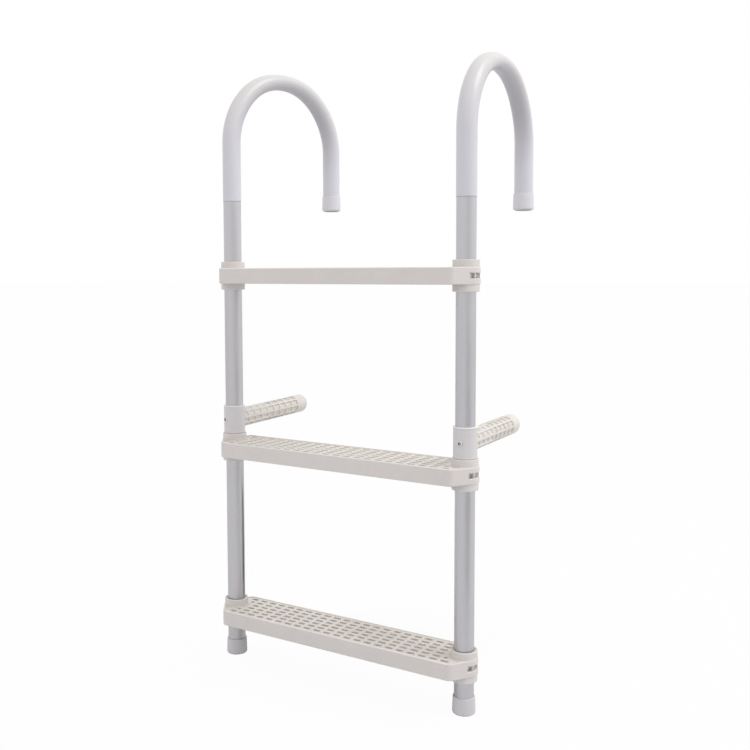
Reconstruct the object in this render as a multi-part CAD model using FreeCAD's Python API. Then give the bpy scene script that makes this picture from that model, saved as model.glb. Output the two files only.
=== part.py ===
import FreeCAD, Part
import math
import os

# Folding swim ladder: two tube rails, three moulded lattice steps, two hooks that go over
# the side of a boat and two stand-offs that keep the ladder off it. All in millimetres.
# X runs from the left rail to the right one, Y from the swimmer to the boat, Z up.
# Heights are measured from the soles of the feet and moved to the seat at the very end.

# Rails
RAIL_SPACING = 368.0
RAIL_OD = 25.4
RAIL_WALL = 1.65
LEFT_RAIL_ABOVE_TOP_STEP = 106.1
RIGHT_RAIL_ABOVE_TOP_STEP = 96.6
FIXED_CLEARANCE = 0.05
RUNNING_CLEARANCE = 0.1
END_GAP = 0.3

# Feet
FOOT_HEIGHT = 22.5
FOOT_SOLE_OD = 30.0
FOOT_TOP_OD = 28.4
FOOT_SOLE_THICKNESS = 4.0
FOOT_EDGE_RADIUS = 2.5
FOOT_RIM_RADIUS = 0.8

# Steps
BOTTOM_STEP_HEIGHT = 63.1
MIDDLE_STEP_HEIGHT = 309.0
TOP_STEP_HEIGHT = 557.4
STEP_DEPTH = 71.8
STEP_CORNER_PAST_RAIL = -3.5
STEP_CORNER_RADIUS = 8.0
STEP_END_RADIUS = 18.0
FLANGE_HEIGHT = 21.8
FLANGE_WALL = 3.0
FLANGE_TOP_RADIUS = 1.6
FLANGE_BOTTOM_RADIUS = 1.2
TREAD_THICKNESS = 3.6
COLLAR_HEIGHT = 40.0
COLLAR_OD = 34.0
COLLAR_RIM_RADIUS = 1.2
COLLAR_MOUTH_GAP = 2.0
COLLAR_MOUTH_DEPTH = 3.0

# Tread lattice
SLOT_LENGTH = 11.2
SLOT_WIDTH = 5.2
SLOT_COLUMN_PITCH = 16.1
SLOT_ROW_PITCH = 10.55
SLOT_ROWS = 6
OUTER_ROW_COLUMNS = 22
INNER_ROW_COLUMNS = 20
RIB_THICKNESS = 2.0
RIB_DEPTH = 12.0
COLUMNS_BETWEEN_CROSS_RIBS = 4

# Windows in the collars and the rivets inside them
WINDOW_HEIGHT = 6.6
WINDOW_SWEEP = 112.0
WINDOW_BAR_ANGLE = 24.0
WINDOW_BAR_WIDTH = 1.2
WINDOW_BAR_SETBACK = 1.0
RIVET_SHANK_OD = 4.0
RIVET_HEAD_OD = 6.0
RIVET_HEAD_HEIGHT = 1.6
RIVET_GRIP = 3.0

# Hooks
HOOK_TUBE_WALL = 1.5
HOOK_SPIGOT = 60.0
HOOK_REACH = 196.0
HOOK_CROWN_RISE = 181.0
HOOK_TIP_DROP = 6.5
LEFT_HOOK_TURN = -14.0
RIGHT_HOOK_TURN = 0.7
SLEEVE_OD = 26.2
CAP_HEIGHT = 24.0
CAP_TOP_OD = 28.2
CAP_BOTTOM_OD = 29.6
CAP_FLOOR = 3.0
CAP_EDGE_RADIUS = 3.0
CAP_RIM_RADIUS = 0.8

# Stand-offs
SOCKET_OD = 31.0
SOCKET_HEIGHT = 40.0
SOCKET_RIM_RADIUS = 1.0
SOCKET_PEG_OD = 15.0
SOCKET_PEG_LENGTH = 26.0
LEFT_STANDOFF_TURN = -1.9
RIGHT_STANDOFF_TURN = 1.5
LEFT_ARM_RISE = 1.4
RIGHT_ARM_RISE = 0.0
ARM_REACH = 165.0
ARM_ROOT_OD = 28.2
ARM_TIP_OD = 27.6
ARM_TIP_RADIUS = 7.0
ARM_END_BAND = 27.3
POCKETS_ROUND = 9
POCKETS_ALONG = 9
POCKET_PITCH = 15.0
POCKET_LENGTH = 12.0
POCKET_WIDTH = 7.0
POCKET_DEPTH = 2.4
FIRST_POCKET_TURN = 25.0
SCREW_SHANK_OD = 4.5
SCREW_HEAD_OD = 6.6
SCREW_HEAD_HEIGHT = 1.3
SCREW_SOCKET_ACROSS = 3.0
SCREW_SOCKET_SIDES = 6
SCREW_SOCKET_DEPTH = 1.0
LEFT_SCREW_TURN = -14.0
RIGHT_SCREW_TURN = -1.5

# Small limits for picking edges out of a shape
SAME_PLACE = 1e-4
SAME_POINT = 1e-6
UPRIGHT_ANGLE = 25.0
HALF_ROOT = math.sqrt(0.5)

# Worked-out sizes
RAIL_RADIUS = RAIL_OD / 2
RAIL_BORE_RADIUS = RAIL_RADIUS - RAIL_WALL
HALF_SPACING = RAIL_SPACING / 2
RAIL_X = {"left": -HALF_SPACING, "right": HALF_SPACING}
RAIL_TOP = {
    "left": TOP_STEP_HEIGHT + LEFT_RAIL_ABOVE_TOP_STEP,
    "right": TOP_STEP_HEIGHT + RIGHT_RAIL_ABOVE_TOP_STEP,
}
HOOK_TURN = {"left": LEFT_HOOK_TURN, "right": RIGHT_HOOK_TURN}
STANDOFF_TURN = {"left": LEFT_STANDOFF_TURN, "right": RIGHT_STANDOFF_TURN}
ARM_RISE = {"left": LEFT_ARM_RISE, "right": RIGHT_ARM_RISE}
SCREW_TURN = {"left": LEFT_SCREW_TURN, "right": RIGHT_SCREW_TURN}
OUTWARD = {"left": -1, "right": 1}
STEP_MIDDLES = (BOTTOM_STEP_HEIGHT, MIDDLE_STEP_HEIGHT, TOP_STEP_HEIGHT)
HOOK_TUBE_RADIUS = RAIL_BORE_RADIUS - RUNNING_CLEARANCE
HOOK_BEND_RADIUS = HOOK_REACH / 2
HOOK_LEG = HOOK_CROWN_RISE - HOOK_BEND_RADIUS
SOCKET_BOTTOM = MIDDLE_STEP_HEIGHT + COLLAR_HEIGHT / 2 + END_GAP
SOCKET_MIDDLE = SOCKET_BOTTOM + SOCKET_HEIGHT / 2

# The seat is where the side of the boat meets the inside of the lower hook, midway across
SEAT = FreeCAD.Vector(
    0,
    HOOK_BEND_RADIUS,
    min(RAIL_TOP["left"], RAIL_TOP["right"]) + HOOK_CROWN_RISE - SLEEVE_OD / 2,
)

UP = FreeCAD.Vector(0, 0, 1)
ACROSS = FreeCAD.Vector(1, 0, 0)
BACK = FreeCAD.Vector(0, 1, 0)


def point(x, y, z):
    return FreeCAD.Vector(x, y, z)


def disc_stack(profile):
    """Turns an outline of (radius, height) points and rounded corners about the Z axis."""
    edges = []
    for start, end in zip(profile, profile[1:]):
        a = point(start[0], 0, start[1])
        b = point(end[0], 0, end[1])
        if len(end) == 3:
            middle = point(end[2][0], 0, end[2][1])
            edges.append(Part.Arc(a, middle, b).toShape())
        elif a.distanceToPoint(b) > SAME_POINT:
            edges.append(Part.LineSegment(a, b).toShape())
    first = point(profile[0][0], 0, profile[0][1])
    last = point(profile[-1][0], 0, profile[-1][1])
    edges.append(Part.LineSegment(last, first).toShape())
    face = Part.Face(Part.Wire(edges))
    return face.revolve(point(0, 0, 0), UP, 360)


def rounded(corner, radius, radial, vertical):
    """Quarter round at a corner, from the side that radial points to, to the vertical one."""
    bulge = radius * (1 - HALF_ROOT)
    centre_side = (corner[0] - radial * radius, corner[1])
    vertical_side = (corner[0], corner[1] - vertical * radius)
    middle = (corner[0] - radial * bulge, corner[1] - vertical * bulge)
    return centre_side, vertical_side, middle


def tube(outer_radius, inner_radius, bottom, top):
    outer = Part.makeCylinder(outer_radius, top - bottom, point(0, 0, bottom))
    inner = Part.makeCylinder(inner_radius, top - bottom, point(0, 0, bottom))
    return outer.cut(inner)


def box_about(size, centre):
    corner = centre - point(size[0] / 2, size[1] / 2, size[2] / 2)
    return Part.makeBox(size[0], size[1], size[2], corner)


def place(shape, x, turn=0.0):
    """Turns a piece about its own upright axis and moves it to a rail."""
    shape = shape.copy()
    shape.rotate(point(0, 0, 0), UP, turn)
    shape.translate(point(x, 0, 0))
    return shape


# Rails and their rivets


def rivet(side, height):
    """A domed rivet that seats on the outside of the rail."""
    head_foot = RAIL_RADIUS - RIVET_GRIP
    shank = Part.makeCylinder(RIVET_SHANK_OD / 2, RIVET_GRIP, point(0, 0, head_foot))
    head_radius = RIVET_HEAD_OD / 2
    top = RAIL_RADIUS + RIVET_HEAD_HEIGHT
    dome_height = RIVET_HEAD_HEIGHT / 2
    dome_radius = (head_radius ** 2 + dome_height ** 2) / (2 * dome_height)
    half_way = math.asin(head_radius / dome_radius) / 2
    dome_middle = (dome_radius * math.sin(half_way), top - dome_radius * (1 - math.cos(half_way)))
    head = disc_stack([
        (0, RAIL_RADIUS - RIVET_HEAD_HEIGHT),
        (head_radius, RAIL_RADIUS - RIVET_HEAD_HEIGHT),
        (head_radius, top - dome_height),
        (0, top, dome_middle),
    ])
    head.rotate(point(0, 0, 0), BACK, 90)
    shank.rotate(point(0, 0, 0), BACK, 90)
    rail_body = Part.makeCylinder(RAIL_RADIUS, RAIL_OD, point(0, 0, -RAIL_RADIUS))
    shape = head.cut(rail_body).fuse(shank).removeSplitter()
    if OUTWARD[side] < 0:
        shape.rotate(point(0, 0, 0), UP, 180)
    shape.translate(point(RAIL_X[side], 0, height))
    return shape


def rail(side):
    shape = tube(RAIL_RADIUS, RAIL_BORE_RADIUS, FOOT_SOLE_THICKNESS, RAIL_TOP[side])
    hole_radius = RIVET_SHANK_OD / 2 + FIXED_CLEARANCE
    for height in STEP_MIDDLES:
        direction = point(OUTWARD[side], 0, 0)
        hole = Part.makeCylinder(hole_radius, RAIL_OD, point(0, 0, height), direction)
        shape = shape.cut(hole)
    return place(shape, RAIL_X[side])


# Feet


def foot(side):
    sole = FOOT_SOLE_OD / 2
    top = FOOT_TOP_OD / 2
    edge_in, edge_up, edge_mid = rounded((sole, 0), FOOT_EDGE_RADIUS, 1, -1)
    rim_in, rim_down, rim_mid = rounded((top, FOOT_HEIGHT), FOOT_RIM_RADIUS, 1, 1)
    profile = [(0, 0), edge_in, edge_up + (edge_mid,), rim_down, rim_in + (rim_mid,), (0, FOOT_HEIGHT)]
    shape = disc_stack(profile)
    bore = Part.makeCylinder(RAIL_RADIUS + FIXED_CLEARANCE, FOOT_HEIGHT, point(0, 0, FOOT_SOLE_THICKNESS))
    return place(shape.cut(bore), RAIL_X[side])


# Steps


def step_block(inset, bottom, top):
    """The plan of a step, as a prism: straight sides, corners drawn in to a round end."""
    half_depth = STEP_DEPTH / 2 - inset
    end_radius = STEP_END_RADIUS - inset
    corner_reach = math.hypot(STEP_CORNER_PAST_RAIL, STEP_DEPTH / 2)
    corner_angle = math.atan2(STEP_DEPTH / 2, STEP_CORNER_PAST_RAIL)
    tangent_angle = corner_angle - math.acos(STEP_END_RADIUS / corner_reach)
    turn = math.pi / 2 - tangent_angle
    corner_x = HALF_SPACING + STEP_CORNER_PAST_RAIL - inset * math.tan(turn / 2)
    touch_x = HALF_SPACING + end_radius * math.cos(tangent_angle)
    touch_y = end_radius * math.sin(tangent_angle)
    end_x = HALF_SPACING + end_radius
    front_left = point(-corner_x, -half_depth, bottom)
    front_right = point(corner_x, -half_depth, bottom)
    back_right = point(corner_x, half_depth, bottom)
    back_left = point(-corner_x, half_depth, bottom)
    right_touch = [point(touch_x, -touch_y, bottom), point(touch_x, touch_y, bottom)]
    left_touch = [point(-touch_x, touch_y, bottom), point(-touch_x, -touch_y, bottom)]
    edges = [
        Part.LineSegment(front_left, front_right).toShape(),
        Part.LineSegment(front_right, right_touch[0]).toShape(),
        Part.Arc(right_touch[0], point(end_x, 0, bottom), right_touch[1]).toShape(),
        Part.LineSegment(right_touch[1], back_right).toShape(),
        Part.LineSegment(back_right, back_left).toShape(),
        Part.LineSegment(back_left, left_touch[0]).toShape(),
        Part.Arc(left_touch[0], point(-end_x, 0, bottom), left_touch[1]).toShape(),
        Part.LineSegment(left_touch[1], front_left).toShape(),
    ]
    block = Part.Face(Part.Wire(edges)).extrude(point(0, 0, top - bottom))
    upright = []
    least_rise = math.cos(math.radians(UPRIGHT_ANGLE))
    for edge in block.Edges:
        straight = edge.Curve.TypeId == "Part::GeomLine"
        if straight and abs(edge.tangentAt(edge.FirstParameter).z) > least_rise:
            if abs(abs(edge.CenterOfMass.y) - half_depth) < SAME_PLACE:
                upright.append(edge)
    return block.makeFillet(STEP_CORNER_RADIUS - inset, upright)


def level_edges(shape, height):
    """The edges that lie flat at one height."""
    edges = []
    for edge in shape.Edges:
        box = edge.BoundBox
        if abs(box.ZMin - height) < SAME_PLACE and box.ZLength < SAME_PLACE:
            edges.append(edge)
    return edges


def collar():
    outer = COLLAR_OD / 2
    half = COLLAR_HEIGHT / 2
    low_in, low_up, low_mid = rounded((outer, -half), COLLAR_RIM_RADIUS, 1, -1)
    top_in, top_down, top_mid = rounded((outer, half), COLLAR_RIM_RADIUS, 1, 1)
    profile = [(0, -half), low_in, low_up + (low_mid,), top_down, top_in + (top_mid,), (0, half)]
    return disc_stack(profile)


def collar_bore():
    """The rail's hole through a collar, wider at its upper mouth."""
    radius = RAIL_RADIUS + FIXED_CLEARANCE
    bore = Part.makeCylinder(radius, 2 * COLLAR_HEIGHT, point(0, 0, -COLLAR_HEIGHT))
    mouth_foot = COLLAR_HEIGHT / 2 - COLLAR_MOUTH_DEPTH
    mouth = Part.makeCylinder(RAIL_RADIUS + COLLAR_MOUTH_GAP, COLLAR_HEIGHT, point(0, 0, mouth_foot))
    return bore.fuse(mouth)


def window_cutter():
    """A slot round the outer end of the right collar, left standing at its two bars."""
    radius = STEP_END_RADIUS + FLANGE_WALL
    bar_end = STEP_END_RADIUS - WINDOW_BAR_SETBACK
    wedge = Part.makeCylinder(radius, WINDOW_HEIGHT, point(0, 0, -WINDOW_HEIGHT / 2), UP, WINDOW_SWEEP)
    wedge.rotate(point(0, 0, 0), UP, -WINDOW_SWEEP / 2)
    for angle in (-WINDOW_BAR_ANGLE, WINDOW_BAR_ANGLE):
        bar = box_about((bar_end, WINDOW_BAR_WIDTH, WINDOW_HEIGHT), point(bar_end / 2, 0, 0))
        bar.rotate(point(0, 0, 0), UP, angle)
        wedge = wedge.cut(bar)
    return wedge


def tread_slots(middle):
    slots = []
    for row in range(SLOT_ROWS):
        outermost = row in (0, SLOT_ROWS - 1)
        columns = OUTER_ROW_COLUMNS if outermost else INNER_ROW_COLUMNS
        y = (row - (SLOT_ROWS - 1) / 2) * SLOT_ROW_PITCH
        for column in range(columns):
            x = (column - (columns - 1) / 2) * SLOT_COLUMN_PITCH
            centre = point(x, y, middle + FLANGE_HEIGHT / 2 - TREAD_THICKNESS / 2)
            slots.append(box_about((SLOT_LENGTH, SLOT_WIDTH, 2 * TREAD_THICKNESS), centre))
    return Part.makeCompound(slots)


def ribs(middle):
    """Ribs under the tread, along it between the rows and across it between columns."""
    top = middle + FLANGE_HEIGHT / 2 - TREAD_THICKNESS
    height = top - RIB_DEPTH / 2 + TREAD_THICKNESS / 4
    depth = RIB_DEPTH + TREAD_THICKNESS / 2
    length = RAIL_SPACING - COLLAR_OD / 2
    width = STEP_DEPTH - FLANGE_WALL
    shapes = []
    for row in range(1, SLOT_ROWS):
        y = (row - SLOT_ROWS / 2) * SLOT_ROW_PITCH
        shapes.append(box_about((length, RIB_THICKNESS, depth), point(0, y, height)))
    cross_pitch = COLUMNS_BETWEEN_CROSS_RIBS * SLOT_COLUMN_PITCH
    cross_side = int((length / 2) // cross_pitch)
    for column in range(-cross_side, cross_side + 1):
        shapes.append(box_about((RIB_THICKNESS, width, depth), point(column * cross_pitch, 0, height)))
    return shapes


def step(middle):
    bottom = middle - FLANGE_HEIGHT / 2
    top = middle + FLANGE_HEIGHT / 2
    shell = step_block(0, bottom, top)
    shell = shell.makeFillet(FLANGE_TOP_RADIUS, level_edges(shell, top))
    shell = shell.makeFillet(FLANGE_BOTTOM_RADIUS, level_edges(shell, bottom))
    shell = shell.cut(step_block(FLANGE_WALL, bottom, top - TREAD_THICKNESS))
    collars = []
    bores = []
    windows = []
    for side in ("left", "right"):
        ring = collar()
        ring.translate(point(RAIL_X[side], 0, middle))
        collars.append(ring)
        bore = collar_bore()
        bore.translate(point(RAIL_X[side], 0, middle))
        bores.append(bore)
        window = window_cutter()
        if OUTWARD[side] < 0:
            window.rotate(point(0, 0, 0), UP, 180)
        window.translate(point(RAIL_X[side], 0, middle))
        windows.append(window)
    shape = shell.multiFuse(ribs(middle) + collars)
    shape = shape.cut(tread_slots(middle))
    shape = shape.cut(Part.makeCompound(bores))
    shape = shape.cut(Part.makeCompound(windows))
    return shape.removeSplitter()


# Hooks


def bent_tube(outer_radius, inner_radius, start, leg, end):
    """A tube that goes up a leg, over a half circle and down to a lower end, in the YZ plane."""
    rising = tube(outer_radius, inner_radius, start, leg)
    ring = Part.Face([
        Part.Wire(Part.makeCircle(outer_radius, point(0, 0, leg), UP)),
        Part.Wire(Part.makeCircle(inner_radius, point(0, 0, leg), UP)),
    ])
    bend = ring.revolve(point(0, HOOK_BEND_RADIUS, leg), ACROSS, -180)
    falling = tube(outer_radius, inner_radius, end, leg)
    falling.translate(point(0, HOOK_REACH, 0))
    return rising.multiFuse([bend, falling]).removeSplitter()


def hook_tube(side):
    seat = RAIL_TOP[side]
    end = seat - HOOK_TIP_DROP + CAP_FLOOR
    bore = HOOK_TUBE_RADIUS - HOOK_TUBE_WALL
    shape = bent_tube(HOOK_TUBE_RADIUS, bore, seat - HOOK_SPIGOT, seat + HOOK_LEG, end)
    return place(shape, RAIL_X[side], HOOK_TURN[side])


def hook_sleeve(side):
    seat = RAIL_TOP[side]
    end = seat - HOOK_TIP_DROP + CAP_HEIGHT
    bore = HOOK_TUBE_RADIUS + FIXED_CLEARANCE
    shape = bent_tube(SLEEVE_OD / 2, bore, seat + END_GAP, seat + HOOK_LEG, end)
    return place(shape, RAIL_X[side], HOOK_TURN[side])


def hook_cap(side):
    top = CAP_TOP_OD / 2
    bottom = CAP_BOTTOM_OD / 2
    edge_in, edge_up, edge_mid = rounded((bottom, 0), CAP_EDGE_RADIUS, 1, -1)
    rim_in, rim_down, rim_mid = rounded((top, CAP_HEIGHT), CAP_RIM_RADIUS, 1, 1)
    profile = [(0, 0), edge_in, edge_up + (edge_mid,), rim_down, rim_in + (rim_mid,), (0, CAP_HEIGHT)]
    shape = disc_stack(profile)
    bore = Part.makeCylinder(HOOK_TUBE_RADIUS + FIXED_CLEARANCE, CAP_HEIGHT, point(0, 0, CAP_FLOOR))
    shape = shape.cut(bore)
    shape.translate(point(0, HOOK_REACH, RAIL_TOP[side] - HOOK_TIP_DROP))
    return place(shape, RAIL_X[side], HOOK_TURN[side])


# Stand-offs


def raise_arm(shape, side):
    """Tips a shape that lies along the arm up at its far end, about the socket's middle."""
    shape.rotate(point(0, 0, SOCKET_MIDDLE), ACROSS, ARM_RISE[side])
    return shape


def standoff_socket(side):
    """The sleeve that turns about the rail, with a peg that carries the arm."""
    outer = SOCKET_OD / 2
    low_in, low_up, low_mid = rounded((outer, 0), SOCKET_RIM_RADIUS, 1, -1)
    top_in, top_down, top_mid = rounded((outer, SOCKET_HEIGHT), SOCKET_RIM_RADIUS, 1, 1)
    profile = [(0, 0), low_in, low_up + (low_mid,), top_down, top_in + (top_mid,), (0, SOCKET_HEIGHT)]
    shape = disc_stack(profile)
    shape.translate(point(0, 0, SOCKET_BOTTOM))
    peg_end = outer + SOCKET_PEG_LENGTH
    peg = Part.makeCylinder(SOCKET_PEG_OD / 2, peg_end, point(0, 0, SOCKET_MIDDLE), BACK)
    bore_foot = point(0, 0, SOCKET_BOTTOM - END_GAP)
    bore = Part.makeCylinder(RAIL_RADIUS + RUNNING_CLEARANCE, SOCKET_HEIGHT + 2 * END_GAP, bore_foot)
    hole_radius = SCREW_SHANK_OD / 2 + FIXED_CLEARANCE
    hole = Part.makeCylinder(hole_radius, SOCKET_OD, point(0, 0, SOCKET_MIDDLE), -BACK)
    hole.rotate(point(0, 0, 0), UP, SCREW_TURN[side])
    shape = shape.fuse(raise_arm(peg, side)).cut(bore).cut(hole)
    return place(shape.removeSplitter(), RAIL_X[side], STANDOFF_TURN[side])


def arm_radius(y):
    """Outer radius of the tapered arm at a distance from the rail's axis."""
    start = SOCKET_OD / 2
    share = (y - start) / (ARM_REACH - start)
    return ARM_ROOT_OD / 2 + share * (ARM_TIP_OD - ARM_ROOT_OD) / 2


def pocket_cutters():
    """Rows of rectangular pockets that leave ribs along and around the arm."""
    size = (POCKET_WIDTH, POCKET_LENGTH, ARM_ROOT_OD)
    cutters = []
    for place_along in range(POCKETS_ALONG):
        y = ARM_REACH - ARM_END_BAND - POCKET_LENGTH / 2 - place_along * POCKET_PITCH
        floor = arm_radius(y) - POCKET_DEPTH
        for place_round in range(POCKETS_ROUND):
            pocket = box_about(size, point(0, y, floor + ARM_ROOT_OD / 2))
            pocket.rotate(point(0, 0, 0), BACK, FIRST_POCKET_TURN + place_round * 360 / POCKETS_ROUND)
            cutters.append(pocket)
    return Part.makeCompound(cutters)


def standoff_arm(side):
    """The lattice arm that rests on the boat's side, rounded at its free end."""
    tip = ARM_TIP_OD / 2
    start = RAIL_RADIUS
    tip_in, tip_down, tip_mid = rounded((tip, ARM_REACH), ARM_TIP_RADIUS, 1, 1)
    profile = [(0, start), (arm_radius(start), start), tip_down, tip_in + (tip_mid,), (0, ARM_REACH)]
    shape = disc_stack(profile)
    shape.rotate(point(0, 0, 0), ACROSS, -90)
    shape = shape.cut(pocket_cutters())
    shape.translate(point(0, 0, SOCKET_MIDDLE))
    peg_end = SOCKET_OD / 2 + SOCKET_PEG_LENGTH
    bore_radius = SOCKET_PEG_OD / 2 + FIXED_CLEARANCE
    bore = Part.makeCylinder(bore_radius, peg_end, point(0, 0, SOCKET_MIDDLE), BACK)
    seat_foot = point(0, 0, SOCKET_BOTTOM - SOCKET_HEIGHT / 2)
    seat = Part.makeCylinder(SOCKET_OD / 2, 2 * SOCKET_HEIGHT, seat_foot)
    shape = raise_arm(shape.cut(bore), side).cut(seat)
    return place(shape, RAIL_X[side], STANDOFF_TURN[side])


def standoff_screw(side):
    """The screw that locks the sleeve to the rail, with a six-sided recess."""
    outer = SOCKET_OD / 2
    nose = RAIL_RADIUS + END_GAP
    head_end = outer + SCREW_HEAD_HEIGHT
    shank = Part.makeCylinder(SCREW_SHANK_OD / 2, head_end - nose, point(0, 0, nose))
    head = disc_stack([
        (0, nose),
        (SCREW_HEAD_OD / 2, nose),
        (SCREW_HEAD_OD / 2, outer + SCREW_HEAD_HEIGHT / 2),
        (SCREW_HEAD_OD / 2 - SCREW_HEAD_HEIGHT / 2, head_end),
        (0, head_end),
    ])
    corners = []
    reach = SCREW_SOCKET_ACROSS / 2 / math.cos(math.pi / SCREW_SOCKET_SIDES)
    recess_floor = head_end - SCREW_SOCKET_DEPTH
    for corner in range(SCREW_SOCKET_SIDES + 1):
        angle = 2 * math.pi * corner / SCREW_SOCKET_SIDES
        corners.append(point(reach * math.cos(angle), reach * math.sin(angle), recess_floor))
    recess = Part.Face(Part.makePolygon(corners)).extrude(point(0, 0, SCREW_HEAD_HEIGHT))
    around_rail = Part.makeCylinder(outer, SOCKET_OD, point(0, -outer, 0), BACK)
    shape = head.cut(around_rail).fuse(shank).cut(recess).removeSplitter()
    shape.rotate(point(0, 0, 0), ACROSS, 90)
    shape.translate(point(0, 0, SOCKET_MIDDLE))
    return place(shape, RAIL_X[side], STANDOFF_TURN[side] + SCREW_TURN[side])


def assemble():
    nodes = {}
    for name, middle in zip(("bottom_step", "middle_step", "top_step"), STEP_MIDDLES):
        nodes[name] = step(middle)
    for side in ("left", "right"):
        nodes[side + "_rail"] = rail(side)
        nodes[side + "_foot"] = foot(side)
        for name, middle in zip(("bottom", "middle", "top"), STEP_MIDDLES):
            nodes["%s_%s_rivet" % (side, name)] = rivet(side, middle)
        nodes[side + "_hook_tube"] = hook_tube(side)
        nodes[side + "_hook_sleeve"] = hook_sleeve(side)
        nodes[side + "_hook_cap"] = hook_cap(side)
        nodes[side + "_standoff_socket"] = standoff_socket(side)
        nodes[side + "_standoff_arm"] = standoff_arm(side)
        nodes[side + "_standoff_screw"] = standoff_screw(side)
    return nodes


os.makedirs("parts", exist_ok=True)
for name, shape in assemble().items():
    shape.translate(-SEAT)
    print(name, len(shape.Solids), shape.isValid(), round(shape.Volume), len(shape.Faces))
    shape.exportStep("parts/" + name + ".step")
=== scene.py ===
import math

import bpy
from mathutils import Euler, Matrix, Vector


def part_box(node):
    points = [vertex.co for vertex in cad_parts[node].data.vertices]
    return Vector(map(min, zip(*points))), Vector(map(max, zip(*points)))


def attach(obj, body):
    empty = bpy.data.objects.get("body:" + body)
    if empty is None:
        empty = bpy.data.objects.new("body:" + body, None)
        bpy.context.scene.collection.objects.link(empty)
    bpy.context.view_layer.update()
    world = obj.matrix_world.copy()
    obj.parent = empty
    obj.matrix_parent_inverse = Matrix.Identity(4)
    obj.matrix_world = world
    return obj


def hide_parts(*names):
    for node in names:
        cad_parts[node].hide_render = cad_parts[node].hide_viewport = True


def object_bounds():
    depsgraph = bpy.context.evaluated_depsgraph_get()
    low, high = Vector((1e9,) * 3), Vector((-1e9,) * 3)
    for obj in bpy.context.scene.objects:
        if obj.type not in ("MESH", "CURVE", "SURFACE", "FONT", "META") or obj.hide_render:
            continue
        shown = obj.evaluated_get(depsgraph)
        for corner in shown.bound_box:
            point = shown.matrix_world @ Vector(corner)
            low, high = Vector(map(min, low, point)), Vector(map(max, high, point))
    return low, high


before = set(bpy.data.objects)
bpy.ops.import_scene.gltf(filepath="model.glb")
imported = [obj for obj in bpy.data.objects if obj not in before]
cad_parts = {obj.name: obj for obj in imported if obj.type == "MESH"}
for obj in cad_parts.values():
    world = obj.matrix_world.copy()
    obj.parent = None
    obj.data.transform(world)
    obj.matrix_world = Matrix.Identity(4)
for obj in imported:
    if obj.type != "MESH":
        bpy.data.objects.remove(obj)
cad_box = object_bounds()

# Rails. Two straight tubes of aluminium, drawn through a die, which leaves faint lines along
# them, and then anodised to a satin finish. They are drilled for the rivets of the steps.


def new_group(name, inputs, outputs):
    """A shader node group with named number inputs and outputs, and its two end nodes."""
    group = bpy.data.node_groups.new(name, "ShaderNodeTree")
    for socket, value in inputs:
        made = group.interface.new_socket(socket, in_out="INPUT", socket_type="NodeSocketFloat")
        made.default_value = value
    for socket in outputs:
        group.interface.new_socket(socket, in_out="OUTPUT", socket_type="NodeSocketFloat")
    return group, group.nodes.new("NodeGroupInput"), group.nodes.new("NodeGroupOutput")


def noise_node(tree, scale, stretch=(1, 1, 1), detail=3.0):
    """Noise on the object's own coordinates, with its scale fed by a socket."""
    place = tree.nodes.new("ShaderNodeTexCoord")
    mapping = tree.nodes.new("ShaderNodeMapping")
    mapping.inputs["Scale"].default_value = stretch
    tree.links.new(place.outputs["Object"], mapping.inputs["Vector"])
    noise = tree.nodes.new("ShaderNodeTexNoise")
    noise.inputs["Detail"].default_value = detail
    tree.links.new(mapping.outputs["Vector"], noise.inputs["Vector"])
    tree.links.new(scale, noise.inputs["Scale"])
    return noise.outputs["Fac"]


def spread(tree, value, low, high, start=0.3, end=0.7):
    """Goes from low to high as the value goes from start to end. Noise keeps near its middle,
    so for it they are 0.3 and 0.7."""
    node = tree.nodes.new("ShaderNodeMapRange")
    node.inputs["From Min"].default_value = start
    node.inputs["From Max"].default_value = end
    node.inputs["To Min"].default_value = low
    node.inputs["To Max"].default_value = high
    tree.links.new(value, node.inputs["Value"])
    return node.outputs["Result"]


def make_grain():
    """Fine grain and broad clouding, as on a moulded or anodised surface."""
    group, given, result = new_group(
        "surface grain", (("Grain scale", 1500.0), ("Cloud scale", 25.0)), ("Grain", "Cloud")
    )
    fine = noise_node(group, given.outputs["Grain scale"])
    broad = noise_node(group, given.outputs["Cloud scale"], detail=4.0)
    group.links.new(fine, result.inputs["Grain"])
    group.links.new(broad, result.inputs["Cloud"])
    return group


def make_draw_lines():
    """Lines along the height of a drawn tube, a few tenths of a millimetre apart."""
    group, given, result = new_group("drawing lines", (("Line scale", 900.0),), ("Lines",))
    lines = noise_node(group, given.outputs["Line scale"], stretch=(1, 1, 0.004), detail=2.0)
    group.links.new(lines, result.inputs["Lines"])
    return group


surface_grain = make_grain()
draw_lines = make_draw_lines()


def place_group(tree, group, **values):
    """Puts a node group into a material, with its inputs named by their words."""
    node = tree.nodes.new("ShaderNodeGroup")
    node.node_tree = group
    for name, value in values.items():
        node.inputs[name.replace("_", " ")].default_value = value
    return node


def blend_colour(tree, share, first, second):
    """A colour that goes from the first to the second as share goes from 0 to 1."""
    mix = tree.nodes.new("ShaderNodeMix")
    mix.data_type = "RGBA"
    tree.links.new(share, mix.inputs["Factor"])
    for socket, colour in ((mix.inputs[6], first), (mix.inputs[7], second)):
        if isinstance(colour, tuple):
            socket.default_value = (*colour, 1)
        else:
            tree.links.new(colour, socket)
    return mix.outputs[2]


def add_bump(tree, shader, height, depth, strength):
    bump = tree.nodes.new("ShaderNodeBump")
    bump.inputs["Strength"].default_value = strength
    bump.inputs["Distance"].default_value = depth
    tree.links.new(height, bump.inputs["Height"])
    tree.links.new(bump.outputs["Normal"], shader.inputs["Normal"])


def new_material(name):
    material = bpy.data.materials.new(name)
    material.use_nodes = True
    return material, material.node_tree, material.node_tree.nodes["Principled BSDF"]


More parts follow.
